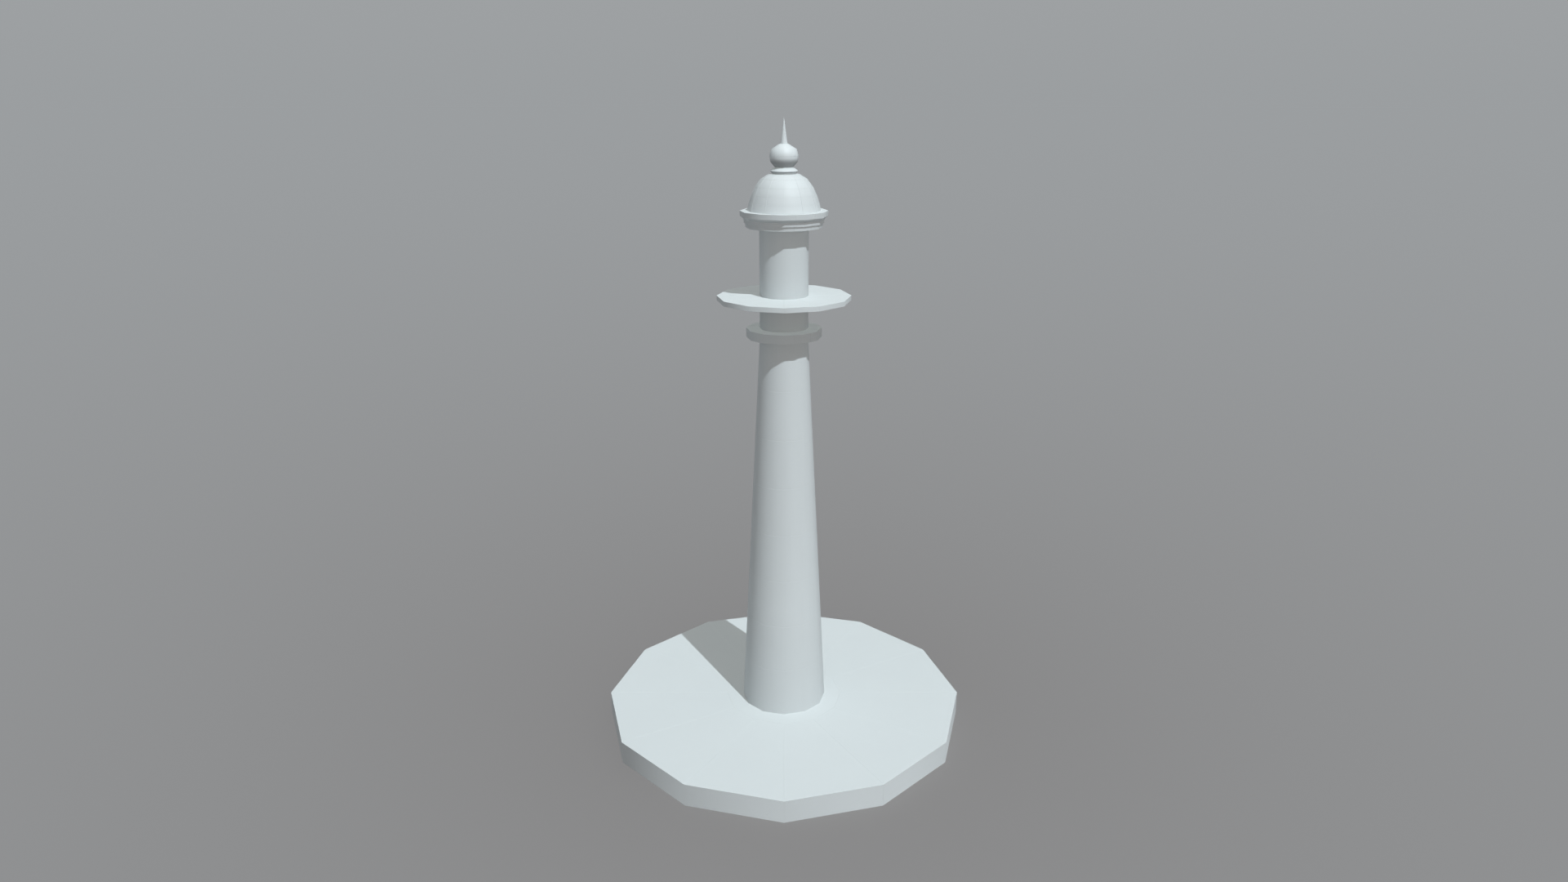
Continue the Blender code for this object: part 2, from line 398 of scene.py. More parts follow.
@dataclass(frozen=True)
class CastConcrete(Finish):
    """Concrete bays, broomed from the tower outwards inside a smooth margin, with small pores."""

    bay_inner: float = 1.0  # radii of the bays' inner and outer arrises
    bay_outer: float = 2.0
    deck: float = 1.0  # level of their tops
    margin: float = 0.09
    margin_edge: float = 0.0025  # the run over which the brooming starts
    deck_edge: float = 0.001  # the height over which a side turns into a top
    broomed_tone: float = 0.25  # how much lower the broomed part's tone is than its margin's
    ridge: float = 0.0012
    ridge_pitch: float = 0.006
    pore: float = 0.0015
    pore_pitch: float = 0.11
    pore_radius: float = 0.05  # this and its edge are shares of the pitch
    pore_edge: float = 0.025
    traffic: float = 0.075  # wear and painted shade: how much darker the tops are than the cast sides

    def broomed(self, graph: Graph, place: Value) -> Value:
        """Tell the broomed part of each bay from the rest.

        Args:
            graph: The material's graph.
            place: Each point's place.

        Returns:
            1 on the broomed part of a bay's top, and 0 on its margin and its sides.
        """
        reach = graph.reach(place)
        azimuth = graph.turn(place) % BAY
        from_joint = reach * graph.math("SINE", graph.math("MINIMUM", azimuth, BAY - azimuth))
        run = reach * graph.math("COSINE", azimuth - HALF_BAY)
        from_outside = self.bay_outer * math.cos(HALF_BAY) - run
        from_inside = run - self.bay_inner * math.cos(HALF_BAY)
        nearest = graph.math("MINIMUM", from_joint, graph.math("MINIMUM", from_outside, from_inside))
        on_top = graph.ramp(graph.height(place), self.deck - self.margin, self.deck_edge)
        return graph.ramp(nearest, self.margin, self.margin_edge) * on_top

    def tone(self, graph: Graph, place: Value) -> Value:
        """Broad patches, and a broomed part that is a shade darker than its margin."""
        return super().tone(graph, place) - self.broomed(graph, place) * self.broomed_tone

    def weather(self, graph: Graph, place: Value) -> Number:
        """The tops are darker than the sides, by wear and by painted shade."""
        on_top = graph.ramp(graph.height(place), self.deck - self.deck_edge, self.deck_edge)
        return 1 - on_top * self.traffic

    def relief(self, graph: Graph, place: Value) -> Value:
        """Add broom ridges that run outwards, and pores, to the concrete's grain.

        Args:
            graph: The material's graph.
            place: Each point's place.

        Returns:
            The height of each point above the surface, in metres.
        """
        across = graph.turn(place) * (self.bay_outer / self.ridge_pitch)
        lines = graph.noise(graph.vector(across, graph.reach(place), graph.height(place)), 1.0)
        sockets = {"Vector": place, "Scale": 1 / self.pore_pitch}
        distance = graph.add("ShaderNodeTexVoronoi", {}, sockets)
        pores = graph.clamp((self.pore_radius - distance) / self.pore_edge) * self.pore
        ridges = lines * self.broomed(graph, place) * (self.ridge / 2)
        return super().relief(graph, place) + ridges - pores


@dataclass(frozen=True)
class PaintedRender(Finish):
    """Painted render with trowel waves, rain marks, and painted shade just above the decks."""

    wave: float = 0.0015
    wave_size: float = 0.45
    rain_width: float = 0.12
    rain_length: float = 3.0
    rain_share: float = 0.4  # of the tone
    splash: float = 0.12  # painted shade: how much darker the wall is just above a deck
    splash_from: tuple[float, ...] = ()  # the decks' levels
    splash_height: tuple[float, ...] = ()  # how far it reaches above each

    def tone(self, graph: Graph, place: Value) -> Value:
        """Broad patches and rain marks."""
        across = 1 / self.rain_width
        rain = graph.noise(graph.stretched(place, (across, across, 1 / self.rain_length)), 1.0)
        return super().tone(graph, place) * (1 - self.rain_share) + rain * self.rain_share

    def weather(self, graph: Graph, place: Value) -> Number:
        """Darken the wall with painted shade that fades upwards from each deck.

        Args:
            graph: The material's graph.
            place: Each point's place.

        Returns:
            The share of its tone that each point keeps under the painted shade.
        """
        share: Number = 1.0
        for deck, reach in zip(self.splash_from, self.splash_height):
            above = (graph.height(place) - deck) / reach
            near_deck_shade = graph.clamp(1 - above) * (1 - (above < -HAIR))
            share = share - near_deck_shade * self.splash
        return share

    def relief(self, graph: Graph, place: Value) -> Value:
        """Trowel waves under the grain of the render."""
        return super().relief(graph, place) + graph.noise(place, self.wave_size) * (self.wave / 2)


@dataclass(frozen=True)
class DressedStone(Finish):
    """Dressed stones under a thin matt wash, each with its own tone, with fine tooling."""

    stone_share: float = 0.4  # of the tone, by which stones differ
    tooling: float = 0.0008
    tooling_pitch: float = 0.010
    tooling_length: float = 0.09

    def tone(self, graph: Graph, place: Value) -> Value:
        """Broad patches, and the tone that each stone was given."""
        stone = graph.add("ShaderNodeAttribute", {"attribute_name": "tone"}, {}, "Fac")
        return super().tone(graph, place) * (1 - self.stone_share) + stone * self.stone_share

    def relief(self, graph: Graph, place: Value) -> Value:
        """Upright tool marks over the grain of the stone."""
        across = 1 / self.tooling_pitch
        marks = graph.stretched(place, (across, across, 1 / self.tooling_length))
        return super().relief(graph, place) + graph.noise(marks, 1.0, 1.0) * (self.tooling / 2)


@dataclass(frozen=True)
class PaintedMetal(Finish):
    """Matt paint on sheet or cast metal, with slow dents, and painted shade on what faces down."""

    grain: float = 0.0002
    dent: float = 0.0015
    dent_size: float = 0.35
    grime: float = 0.0  # painted shade: how much darker a surface is that faces well down
    grime_from: float = 0.1  # how far a surface leans down before the painted shade starts
    grime_run: float = 1 / 3  # how much further it leans before the painted shade is full

    def weather(self, graph: Graph, place: Value) -> Number:
        """Painted shade on what faces down."""
        down = graph.height(graph.add("ShaderNodeNewGeometry", {}, {}, "Normal")) * -1
        return 1 - graph.ramp(down, self.grime_from, self.grime_run) * self.grime

    def relief(self, graph: Graph, place: Value) -> Value:
        """Dents under the stipple of the paint."""
        return super().relief(graph, place) + graph.noise(place, self.dent_size) * (self.dent / 2)


def top_of(node: str) -> float:
    """The highest level of a CAD node."""
    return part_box(node)[1].z


def foot_of(node: str) -> float:
    """The lowest level of a CAD node."""
    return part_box(node)[0].z


def radius_of(node: str) -> float:
    """The radius of a CAD node's outermost arris, on the +X side."""
    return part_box(node)[1].x


def outline_of(node: str) -> list[Point]:
    """Read the outline of a CAD node on the +X arris, which bulges everywhere.

    Args:
        node: The node's name.

    Returns:
        The outline, in order round it.
    """
    places = (vertex.co for vertex in frame["nodes"][node].data.vertices)
    found = sorted({(round(p.x, 5), round(p.z, 5)) for p in places if abs(p.y) < HAIR and p.x > 0})

    def half_hull(points: Sequence[Point]) -> list[Point]:
        """Find one side of the outline.

        Args:
            points: The node's points on the arris, sorted from one end of the outline to the other.

        Returns:
            The side's points, without the last.
        """
        hull: list[Point] = []
        for x, z in points:
            while len(hull) > 1:
                (ax, az), (bx, bz) = hull[-2:]
                if (bx - ax) * (z - az) - (bz - az) * (x - ax) > 0:
                    break
                hull.pop()
            hull.append((x, z))
        return hull[:-1]

    return half_hull(found) + half_hull(found[::-1])


def extent(outline: Sequence[Point]) -> tuple[float, float, float, float]:
    """The inner and outer radius and the lowest and highest level of an outline."""
    radii = [radius for radius, _ in outline]
    levels = [height for _, height in outline]
    return min(radii), max(radii), min(levels), max(levels)


def shrunk(outline: Sequence[Point], depth: float) -> list[Point]:
    """Draw in the outer, upper and lower sides of an outline.

    Args:
        outline: The outline.
        depth: How far they are drawn in.

    Returns:
        The smaller outline.
    """
    inner, _, low, high = extent(outline)
    return [
        (max(radius - depth, inner), min(max(height, low + depth), high - depth))
        for radius, height in outline
    ]


def with_drip(outline: Sequence[Point], back: float, width: float, depth: float) -> list[Point]:
    """A plain block's outline with a drip groove cut up into its underside.

    Args:
        outline: The block's outline.
        back: The groove's distance from the block's outer face.
        width: The groove's width.
        depth: The groove's depth.

    Returns:
        The outline, in order round it.
    """
    inner, outer, low, high = extent(outline)
    lip = outer - back
    groove = [(lip - width, low), (lip - width, low + depth), (lip, low + depth), (lip, low)]
    return [(inner, low), *groove, (outer, low), (outer, high), (inner, high)]


def mesh_of(
    points: Sequence[Sequence[float]] = (),
    edges: Sequence[Sequence[int]] = (),
    faces: Sequence[Sequence[int]] = (),
) -> bpy.types.Mesh:
    """A new mesh from its points, and its edges or faces."""
    mesh = bpy.data.meshes.new("shape")
    mesh.from_pydata([tuple(point) for point in points], edges, faces)
    return mesh


def wire(points: Sequence[Place], closed: bool = False) -> bpy.types.Mesh:
    """Join points in a line.

    Args:
        points: The points.
        closed: Whether the line runs back from the last point to the first.

    Returns:
        The line's mesh.
    """
    edges = [(index, index + 1) for index in range(len(points) - 1)]
    if closed:
        edges.append((len(points) - 1, 0))
    return mesh_of(points, edges)


def section(outline: Sequence[Point]) -> bpy.types.Mesh:
    """A mesh of one upright face with an outline."""
    points = [(radius, 0.0, height) for radius, height in outline]
    return mesh_of(points, faces=[tuple(range(len(points)))])


def ring_points(radius: float, height: float) -> list[Place]:
    """The twelve arris points at a radius and a height."""
    turns = [side * BAY for side in range(SIDES)]
    return [(radius * math.cos(turn), radius * math.sin(turn), height) for turn in turns]


def turned(outline: Sequence[Point], ring: bool = True) -> bpy.types.Mesh:
    """Turn an outline round the tower's axis.

    Args:
        outline: A closed outline for a ring. For a solid, an open one from its foot to its head,
            whose two ends are closed with flat faces.
        ring: Whether it is a ring.

    Returns:
        The closed mesh.
    """
    size = len(outline)
    points = [point for radius, height in outline for point in ring_points(radius, height)]
    faces = []
    for level in range(size if ring else size - 1):
        above = (level + 1) % size
        for side in range(SIDES):
            after = (side + 1) % SIDES
            corners = [(level, side), (level, after), (above, after), (above, side)]
            faces.append([row * SIDES + column for row, column in corners])
    if not ring:
        faces.append(list(range(SIDES)))
        faces.append(list(range((size - 1) * SIDES, size * SIDES)))
    return mesh_of(points, faces=faces)


def linked(name: str, data: bpy.types.ID) -> bpy.types.Object:
    """A new object in the scene, at the origin."""
    thing = bpy.data.objects.new(name, data)
    bpy.context.scene.collection.objects.link(thing)
    return thing


def modified(
    mesh: bpy.types.Mesh,
    kind: str,
    settings: Mapping[str, object],
    inputs: Mapping[str, object] | None = None,
) -> bpy.types.Mesh:
    """What one modifier makes of a mesh, as a mesh of its own.

    Args:
        mesh: The mesh.
        kind: The modifier's type.
        settings: The modifier's properties.
        inputs: The inputs of its node tree, by their identifiers.

    Returns:
        The new mesh.
    """
    carrier = linked(mesh.name, mesh)
    modifier = carrier.modifiers.new(kind, kind)
    for name, setting in settings.items():
        setattr(modifier, name, setting)
    for identifier, given in (inputs or {}).items():
        modifier[identifier] = given
    depsgraph = bpy.context.evaluated_depsgraph_get()
    source = carrier.evaluated_get(depsgraph)
    made = bpy.data.meshes.new_from_object(source, preserve_all_data_layers=True, depsgraph=depsgraph)
    bpy.data.objects.remove(carrier)
    return made


def grow(
    tree: bpy.types.NodeTree, base: bpy.types.Mesh, finish: Finish, inputs: Mapping[str, object]
) -> bpy.types.Mesh:
    """Run a geometry tree and keep what it makes as a plain mesh.

    Args:
        tree: The tree.
        base: The mesh that it starts from.
        finish: The finish that it sets.
        inputs: Its other inputs, by name. Names that it doesn't have are passed over.

    Returns:
        The mesh.
    """
    named = {**inputs, "finish": finish.material()}
    sockets = [item for item in tree.interface.items_tree if item.in_out == "INPUT"]
    given = {item.identifier: named[item.name] for item in sockets if item.name in named}
    return modified(base, "NODES", {"node_group": tree}, given)


@contextmanager
def edited(mesh: bpy.types.Mesh) -> Iterator[bmesh.types.BMesh]:
    """Open a mesh to be edited.

    Args:
        mesh: The mesh, which takes the edited shape.

    Yields:
        Its shape.
    """
    shape = bmesh.new()
    shape.from_mesh(mesh)
    yield shape
    shape.to_mesh(mesh)
    shape.free()


def eased(mesh: bpy.types.Mesh, width: float = 0.0, fill: bool = False) -> bpy.types.Mesh:
    """Weld a mesh, turn its faces outwards and ease its sharp edges.

    Args:
        mesh: The mesh, which is changed.
        width: How far each eased edge reaches into its faces. None are eased at 0.
        fill: Whether open ends are closed first.

    Returns:
        The same mesh.
    """
    with edited(mesh) as shape:
        bmesh.ops.remove_doubles(shape, verts=shape.verts, dist=MERGE)
        if fill:
            bmesh.ops.holes_fill(shape, edges=[edge for edge in shape.edges if edge.is_boundary])
        bmesh.ops.recalc_face_normals(shape, faces=shape.faces)
        if width:
            bmesh.ops.bevel(
                shape,
                geom=[edge for edge in shape.edges if edge.calc_face_angle(0.0) > ARRIS_SHARP],
                offset=width,
                offset_type="OFFSET",
                segments=2,
                profile=0.5,
                affect="EDGES",
                clamp_overlap=True,
            )
    return mesh


def joined(meshes: Sequence[bpy.types.Mesh]) -> bpy.types.Mesh:
    """Join meshes.

    Args:
        meshes: The meshes, which stay as they are.

    Returns:
        All of them as one mesh.
    """
    whole = mesh_of()
    with edited(whole) as shape:
        for mesh in meshes:
            shape.from_mesh(mesh)
    return whole


def shade_as_turned(mesh: bpy.types.Mesh) -> None:
    """Shade a faceted piece as part of the tower's round surface, soft across its arrises.

    A corner's normal is the mean of the faces round it that lean little from its own, weighted by
    their areas, so that a wide face stays flat beside its eased edges. On an outer side it is then
    turned to point straight away from the tower's axis, so that pieces side by side are shaded as
    one surface.

    Args:
        mesh: The piece's mesh, which is changed.
    """
    faces = np.array([face.normal for face in mesh.polygons])
    weighted = faces * np.array([face.area for face in mesh.polygons])[:, None]
    meeting = faces @ faces.T > math.cos(ARRIS_SOFT)
    around: list[list[int]] = [[] for _ in mesh.vertices]
    for face in mesh.polygons:
        for vertex in face.vertices:
            around[vertex].append(face.index)
    corners = [(face.index, vertex) for face in mesh.polygons for vertex in face.vertices]
    normals = np.zeros((len(corners), 3))
    for index, (face, vertex) in enumerate(corners):
        near = [other for other in around[vertex] if meeting[face, other]]
        normals[index] = weighted[near].sum(axis=0)
    normals /= np.linalg.norm(normals, axis=1, keepdims=True)
    places = np.array([mesh.vertices[vertex].co[:2] for _, vertex in corners])
    away = places / np.maximum(np.hypot(places[:, 0], places[:, 1]), MERGE)[:, None]
    level = np.hypot(normals[:, 0], normals[:, 1])
    facing = (normals[:, :2] * away).sum(axis=1)
    outer = facing > math.cos(OUTER_SIDE) * np.maximum(level, LEAST_LEVEL)
    normals[outer, :2] = away[outer] * level[outer, None]
    mesh.shade_smooth()
    mesh.normals_split_custom_set([tuple(normal) for normal in normals])


def station(graph: GeometryGraph, share: float, pull: int) -> Value:
    """Where a section's points lie when it stands part of the way along a side.

    Args:
        graph: The tree, with the inputs joint and turn, whose mesh holds each point's own place
            in the section.
        share: The share of a side past the first joint.
        pull: 1 to draw the section onwards by half a joint, -1 to draw it back, 0 for neither.

    Returns:
        The points' places.
    """
    named = {"data_type": "FLOAT_VECTOR"}
    home = graph.add("GeometryNodeInputNamedAttribute", named, {"Name": "section"})
    radius, _, height = graph.parts(home)
    turn = graph.given("turn")
    half_joint = graph.given("joint") / 2
    angle = (turn + share) * BAY
    lean = (1 - turn * 2) * math.tan(HALF_BAY) * abs(pull)
    reach = radius * math.cos(HALF_BAY) / graph.math("COSINE", angle % BAY - HALF_BAY)
    reach = reach - half_joint * lean
    inset = half_joint * pull
    cosine = graph.math("COSINE", angle)
    sine = graph.math("SINE", angle)
    return graph.vector(reach * cosine - inset * sine, reach * sine + inset * cosine, height)


def swept_tree(name: str, stations: Sequence[tuple[float, int]]) -> bpy.types.NodeTree:
    """Write a tree that sweeps a section through stations, and repeats the solid round the tower.

    Args:
        name: The tree's name.
        stations: Each station's share of a side and the way in which it is drawn by the joint.

    Returns:
        The tree. Its base is one face, and first and count are the sides that it fills.
    """
    graph = GeometryGraph(name, first=int, count=int, joint=float, turn=float, seed=int)
    sockets = {"Geometry": graph.given("geometry"), "Name": "section"}
    sockets["Value"] = graph.add("GeometryNodeInputPosition")
    stored = {"data_type": "FLOAT_VECTOR", "domain": "POINT"}
    face = graph.add("GeometryNodeStoreNamedAttribute", stored, sockets)
    sockets = {"Geometry": face, "Position": station(graph, *stations[0])}
    start = graph.add("GeometryNodeSetPosition", {}, sockets)
    solid = start
    front = None
    for share, pull in stations[1:]:
        sockets = {"Mesh": solid, "Offset Scale": 0.0}
        if front is not None:
            sockets["Selection"] = front
        solid = graph.add("GeometryNodeExtrudeMesh", {"mode": "FACES"}, sockets)
        front = solid.also("Top")
        sockets = {"Geometry": solid, "Selection": front, "Position": station(graph, share, pull)}
        solid = graph.add("GeometryNodeSetPosition", {}, sockets)
    back = graph.add("GeometryNodeFlipFaces", {}, {"Mesh": start})
    whole = graph.add("GeometryNodeJoinGeometry", {}, {"Geometry": [solid, back]})
    whole = graph.add("GeometryNodeMergeByDistance", {}, {"Geometry": whole, "Distance": MERGE})
    whole = graph.add("GeometryNodeRemoveAttribute", {}, {"Geometry": whole, "Name": "section"})
    first = graph.given("first")
    ring = graph.repeat(whole, graph.given("count"), first)
    index = graph.add("GeometryNodeInputIndex") + first
    sockets = {2: -1.0, 3: 1.0, "ID": index, "Seed": graph.given("seed")}
    tone = graph.add("FunctionNodeRandomValue", {"data_type": "FLOAT"}, sockets, 1)
    stored = {"data_type": "FLOAT", "domain": "INSTANCE"}
    sockets = {"Geometry": ring, "Name": "tone", "Value": tone}
    return graph.deliver(graph.add("GeometryNodeStoreNamedAttribute", stored, sockets))


@cache
def stone_tree() -> bpy.types.NodeTree:
    """A tree for stones or slabs, each from one joint to the next."""
    return swept_tree("stones", [(0.0, 1), (0.5, 0), (1.0, -1)])


@cache
def joint_tree() -> bpy.types.NodeTree:
    """A tree for the filling of the joints between stones."""
    return swept_tree("joints", [(0.0, -1), (0.0, 1)])


@cache
def shell_tree() -> bpy.types.NodeTree:
    """Write a tree that turns a shell round the tower's axis.

    Returns:
        The tree. Its inputs are the fields of RuledShell, and its base is a line of points at the
        shell's levels.
    """
    inputs = dict.fromkeys(("radius", "middle", "rise", "steepness", "roundness"), float)
    graph = GeometryGraph("ruled_shell", **inputs)
    levels = graph.given("geometry")
    columns = SIDES + 1
    rows = graph.add("GeometryNodeAttributeDomainSize", {}, {"Geometry": levels}, "Point Count")
    grid = graph.add("GeometryNodeMeshGrid", {}, {"Vertices X": rows, "Vertices Y": columns})
    index = graph.add("GeometryNodeInputIndex")
    row = graph.math("FLOOR", (index + 0.5) / columns)
    turn = (index - row * columns) * BAY
    sockets = {"Geometry": levels, "Value": graph.add("GeometryNodeInputPosition"), "Index": row}
    sample = graph.add("GeometryNodeSampleIndex", {"data_type": "FLOAT_VECTOR"}, sockets)
    height = graph.height(sample)
    share = graph.math("ABSOLUTE", (height - graph.given("middle")) / graph.given("rise"))
    left = 1 - share ** graph.given("steepness")
    radius = graph.given("radius") * left ** (1 / graph.given("roundness"))
    sockets = {"Geometry": grid, "Position": graph.polar(radius, turn, height)}
    return graph.deliver(graph.add("GeometryNodeSetPosition", {}, sockets))


@dataclass(frozen=True)
class RuledShell:
    """A shell round the tower's axis, whose radius is ruled by its height.

    The radius is radius * (1 - |(height - middle) / rise| ** steepness) ** (1 / roundness).
    """

    radius: float
    middle: float
    rise: float
    steepness: float
    roundness: float

    def radius_at(self, level: float) -> float:
        """The radius to an arris at a level."""
        share = abs(level - self.middle) / self.rise
        return self.radius * (1 - share**self.steepness) ** (1 / self.roundness)

    def mesh(self, levels: Sequence[float], finish: Finish) -> bpy.types.Mesh:
        """The shell as an open surface, with its corners at these levels."""
        base = wire([(0.0, 0.0, level) for level in levels])
        return grow(shell_tree(), base, finish, vars(self))


@cache
def bar_tree() -> bpy.types.NodeTree:
    """Write a tree that lays a round bar along a line, and repeats it round the tower.

    Returns:
        The tree, whose base is the line.
    """
    graph = GeometryGraph("bars", bar_radius=float, bar_sides=int, count=int)
    line = graph.add("GeometryNodeMeshToCurve", {}, {"Mesh": graph.given("geometry")})
    sockets = {"Resolution": graph.given("bar_sides"), "Radius": graph.given("bar_radius")}
    round_bar = graph.add("GeometryNodeCurvePrimitiveCircle", {}, sockets)
    sockets = {"Curve": line, "Profile Curve": round_bar, "Fill Caps": True}
    bar = graph.add("GeometryNodeCurveToMesh", {}, sockets)
    return graph.deliver(graph.repeat(bar, graph.given("count")))


def bars(
    line: bpy.types.Mesh, radius: float, finish: Finish, sides: int = 8, count: int = 1
) -> bpy.types.Mesh:
    """Make round bars.

    Args:
        line: The line that the first one lies along.
        radius: Their radius.
        finish: Their finish.
        sides: How many sides a bar has.
        count: How many there are, a side of the tower apart.

    Returns:
        Their mesh.
    """
    inputs = {"bar_radius": radius, "bar_sides": sides, "count": count}
    return grow(bar_tree(), line, finish, inputs)


@cache
def head_tree(head: Head) -> bpy.types.NodeTree:
    """Write a tree that sets fastener heads evenly along the sides of a regular figure.

    Args:
        head: The shape of the heads.

    Returns:
        The tree. Its inputs are the other fields of Heads.
    """
    lengths = dict.fromkeys(("radius", "level", "lean", "head_radius", "head_height"), float)
    graph = GeometryGraph(f"{head.value}_heads", sides=int, each_side=int, **lengths)
    sides = graph.given("sides")
    each = graph.given("each_side")
    radius = graph.given("radius")
    lean = graph.given("lean")
    size = graph.given("head_radius")
    angle = 2 * math.pi / sides
    index = graph.add("GeometryNodeInputIndex")
    side = graph.math("FLOOR", (index + 0.5) / each)
    share = (index - side * each + 0.5) / each
    start = side * angle
    end = start + angle
    across = graph.math("COSINE", start) * (1 - share) + graph.math("COSINE", end) * share
    along = graph.math("SINE", start) * (1 - share) + graph.math("SINE", end) * share
    place = graph.vector(across * radius, along * radius, graph.given("level"))
    points = graph.add("GeometryNodePoints", {}, {"Count": sides * each, "Position": place})
    outwards = graph.polar(graph.math("COSINE", lean), start + angle / 2, graph.math("SINE", lean))
    if head is Head.DOMED:
        sockets = {"Segments": 10, "Rings": 6, "Radius": 1.0}
        shape = graph.add("GeometryNodeMeshUVSphere", {}, sockets)
    else:
        sockets = {"Vertices": 6, "Radius": 1.0, "Depth": 2.0}
        shape = graph.add("GeometryNodeMeshCylinder", {}, sockets)
    sockets = {
        "Points": points,
        "Instance": shape,
        "Rotation": graph.add("FunctionNodeAlignRotationToVector", {"axis": "Z"}, {"Vector": outwards}),
        "Scale": graph.vector(size, size, graph.given("head_height")),
    }
    return graph.deliver(graph.add("GeometryNodeInstanceOnPoints", {}, sockets))


@dataclass(frozen=True)
class Heads:
    """Fastener heads set evenly along the sides of a regular figure."""

    head: Head
    radius: float  # of the figure that they stand on
    level: float
    head_radius: float
    head_height: float
    lean: float = 0.0  # the angle by which they point up from the horizon
    sides: int = SIDES
    each_side: int = 1

    def mesh(self, finish: Finish) -> bpy.types.Mesh:
        """Their mesh."""
        return grow(head_tree(self.head), wire([(0.0, 0.0, 0.0)]), finish, vars(self))


@dataclass(frozen=True)
class Course:
    """A ring of stones or slabs in the outline of a CAD node, with eased edges and filled joints."""

    node: str
    finish: Finish
    filler: Finish
    joint: float
    ease: float
    recess: float = 0.003  # how far the filling lies behind their faces
    joints: Joints = Joints.AT_ARRIS
    seed: int = 1  # of their tones
    inner: float = 0.0  # the least radius that they reach in to
    drip: float = 0.0  # how far a drip groove lies behind their outer face, or 0 for none
    drip_width: float = 0.02
    drip_depth: float = 0.012

    def block(self) -> list[Point]:
        """Their outline, without the groove."""
        return [(max(radius, self.inner), height) for radius, height in outline_of(self.node)]

    def inputs(self, first: int = 0, count: int = SIDES) -> dict[str, object]:
        """The inputs of a swept tree, for a number of sides from the first on."""
        return {**vars(self), "turn": self.joints.value, "first": first, "count": count}

    def stones(self, first: int = 0, count: int = SIDES) -> bpy.types.Mesh:
        """Make some of the stones, or all.

        Args:
            first: The side that the first one stands on.
            count: How many there are.

        Returns:
            Their mesh.
        """
        outline = self.block()
        if self.drip:
            outline = with_drip(outline, self.drip, self.drip_width, self.drip_depth)
        stones = grow(stone_tree(), section(outline), self.finish, self.inputs(first, count))
        return eased(stones, self.ease)

    def filling(self) -> bpy.types.Mesh:
        """The filling of all the upright joints."""
        outline = shrunk(self.block(), self.recess)
        return eased(grow(joint_tree(), section(outline), self.filler, self.inputs()))


@dataclass
class SubAssembly:
    """A part of the tower that is built and dressed together."""

    pieces: list[bpy.types.Object] = field(default_factory=list, init=False)

    def show(
        self,
        name: str,
        mesh: bpy.types.Mesh,
        finish: Finish,
        nodes: Sequence[str] = (),
        shading: Shading = Shading.AS_TURNED,
    ) -> None:
        """Dress a mesh and make it a piece that rides with the tower.

        Args:
            name: The piece's name.
            mesh: Its mesh, in its place.
            finish: Its finish.
            nodes: The CAD nodes that it stands for.
            shading: How its arrises are shaded.
        """
        mesh.name = name
        mesh.materials.clear()
        mesh.materials.append(finish.material())
        if shading is Shading.AS_TURNED:
            shade_as_turned(mesh)
        else:
            mesh.shade_smooth()
            mesh.set_sharp_from_angle(angle=ARRIS_SHARP)
        piece = linked(name, mesh)
        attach(piece, BODY)
        if nodes:
            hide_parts(*nodes)
        self.pieces.append(piece)
        LOG.info("%s: %s, %d faces", type(self).__name__, name, len(mesh.polygons))

    def trim(self, name: str, mesh: bpy.types.Mesh, finish: Finish) -> None:
        """Dress a mesh that stands for no CAD node, shaded by its own edges."""
        self.show(name, mesh, finish, shading=Shading.AS_MADE)

    def wall(self, name: str, node: str, finish: Finish, ease: float = 0.004) -> None:
        """Dress a CAD node that is a plain ring, with eased edges."""
        self.show(name, eased(turned(outline_of(node)), ease), finish, [node])

    def lay(self, course: Course, name: str, filling: str, nodes: Sequence[str]) -> None:
        """Dress a course, as one piece for one CAD node or as a piece for each of twelve.

        Args:
            course: The course.
            name: The name of the piece, or what the pieces' names start with.
            filling: The name of the piece that fills the joints.
            nodes: The CAD nodes that it stands for.
        """
        if len(nodes) == 1:
            self.show(name, course.stones(), course.finish, nodes)
        else:
            for side, node in enumerate(nodes):
                slab = course.stones(first=side, count=1)
                self.show(f"{name}_{side + 1:02d}", slab, course.finish, [node])
        self.trim(filling, course.filling(), course.filler)


BAYS = [f"platform_bay_{index:02d}" for index in range(1, SIDES + 1)]
LANDINGS = [f"gallery_bay_{index:02d}" for index in range(1, SIDES + 1)]
CORE = "platform_core"

CONCRETE = CastConcrete(
    name="broomed_concrete",
    slot=Slot.PLATFORM,
    roughness=0.9,
    tint=1.06,
    patch=2.4,
    bay_inner=radius_of(CORE),
    bay_outer=radius_of(BAYS[0]),
    deck=top_of(CORE),
)
RENDER = PaintedRender(
    name="painted_render",
    slot=Slot.WALL,
    roughness=0.85,
    # painted shade on the walls just above the platform and the gallery
    splash_from=(top_of(CORE), top_of(LANDINGS[0])),
    splash_height=(5.0, 2.6),
)
LANDING_STONE = DressedStone("landing_stone", Slot.GALLERY, roughness=0.85, tint=1.04)
CORNICE_STONE = DressedStone("cornice_stone_wash", Slot.CORNICE, roughness=0.85)
MORTAR = Finish("pale_mortar", Slot.CORNICE, roughness=0.95, tint=0.9, grain=0.001)
SEALANT = Finish("joint_sealant", Slot.PLATFORM, roughness=0.6, tint=0.95)
DOME_PAINT = PaintedMetal("dome_coat", Slot.DOME, roughness=0.55, tint=1.02)
# the finial's paint carries painted shade where it faces down
FINIAL_PAINT = PaintedMetal("finial_coat", Slot.FINIAL, roughness=0.5, tint=1.15, grime=0.5)


